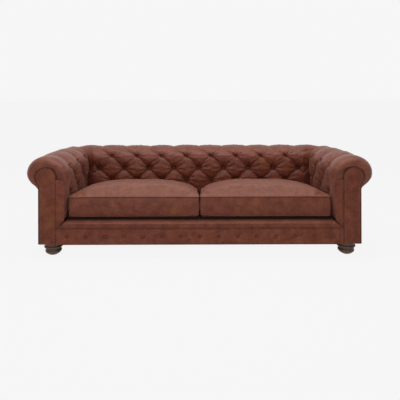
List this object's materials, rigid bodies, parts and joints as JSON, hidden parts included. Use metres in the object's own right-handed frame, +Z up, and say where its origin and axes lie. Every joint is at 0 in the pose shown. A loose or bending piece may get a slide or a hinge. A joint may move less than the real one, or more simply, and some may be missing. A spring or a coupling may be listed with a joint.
{
  "type": "chesterfield sofa",
  "caption": "Long leather chesterfield sofa with deep-buttoned back and arms under one rolled top, keyhole arm facings, loose seat cushions, buttoned front border and turned bun feet.",
  "frame": {"origin": "on the floor, under the middle of the sofa's bounding box", "axes": "+X along the length to the viewer's right, +Y from the front to the back, +Z up"},
  "size_m": [2.5372, 0.966, 0.7302],
  "materials": {
    "leather": "worn waxed leather, semi-gloss, mottled red-brown",
    "cushion_leather": "worn waxed leather, semi-gloss",
    "facing_leather": "waxed leather, semi-gloss",
    "button_leather": "leather-covered button",
    "foot_wood": "dark stained, satin lacquer",
    "frame_wood": "planed, unfinished",
    "steel": "drawn wire and screws, bare",
    "nail_metal": "leather-toned decorative nail",
    "glide_plastic": "black nylon glide",
    "stuffing": "polyurethane foam with fibre wrap",
    "webbing": "jute weave",
    "black_cloth": "woven polypropylene and lining cloth",
    "zip_tape": "woven tape, brown",
    "zip_metal": "brown lacquered"
  },
  "bodies": {
    "sofa": {"arm_buttons_left": "button_leather", "arm_buttons_right": "button_leather", "arm_cover_left": "leather", "arm_cover_right": "leather", "arm_facing_left": "facing_leather", "arm_facing_right": "facing_leather", "arm_front_board_left": "frame_wood", "arm_front_board_right": "frame_wood", "arm_stuffing_left": "stuffing", "arm_stuffing_right": "stuffing", "arm_tack_rails": "frame_wood", "arm_top_rail_left": "frame_wood", "arm_top_rail_right": "frame_wood", "arm_webbing": "webbing", "back_buttons": "button_leather", "back_cover": "leather", "back_rail": "frame_wood", "back_stuffing": "stuffing", "back_tack_rail": "frame_wood", "back_top_rail": "frame_wood", "back_uprights": "frame_wood", "back_webbing": "webbing", "border_buttons": "button_leather", "centre_rail": "frame_wood", "corner_blocks": "frame_wood", "corner_posts": "frame_wood", "deck_burlap": "webbing", "deck_cover": "black_cloth", "deck_lip": "leather", "deck_pad": "stuffing", "dust_cover": "black_cloth", "facing_nails": "nail_metal", "foot_back_left": "foot_wood", "foot_back_right": "foot_wood", "foot_bolts": "steel", "foot_front_left": "foot_wood", "foot_front_right": "foot_wood", "foot_glides": "glide_plastic", "frame_screws": "steel", "front_border": "leather", "front_rail": "frame_wood", "inner_front_panel_left": "leather", "inner_front_panel_right": "leather", "outside_arm_panel_left": "leather", "outside_arm_panel_right": "leather", "outside_back_panel": "leather", "seat_springs": "steel", "side_rail_left": "frame_wood", "side_rail_right": "frame_wood", "spring_clips": "steel", "spring_tie_wires": "steel"},
    "left_seat_cushion": {"cushion_cover_left": "cushion_leather", "cushion_core_left": "stuffing", "cushion_zip_left": "zip_tape"},
    "right_seat_cushion": {"cushion_cover_right": "cushion_leather", "cushion_core_right": "stuffing", "cushion_zip_right": "zip_tape"},
    "left_zip_slider": {"zip_slider_left": "zip_metal"},
    "right_zip_slider": {"zip_slider_right": "zip_metal"}
  },
  "joints": [
    {"name": "left_cushion_lift", "type": "slide", "parent": "sofa", "child": "left_seat_cushion", "axis": [0, 0, 1], "range_m": [0, 0.45]},
    {"name": "right_cushion_lift", "type": "slide", "parent": "sofa", "child": "right_seat_cushion", "axis": [0, 0, 1], "range_m": [0, 0.45]},
    {"name": "left_zip_slide", "type": "slide", "parent": "left_seat_cushion", "child": "left_zip_slider", "axis": [-1, 0, 0], "range_m": [0, 0.78]},
    {"name": "right_zip_slide", "type": "slide", "parent": "right_seat_cushion", "child": "right_zip_slider", "axis": [1, 0, 0], "range_m": [0, 0.78]}
  ]
}
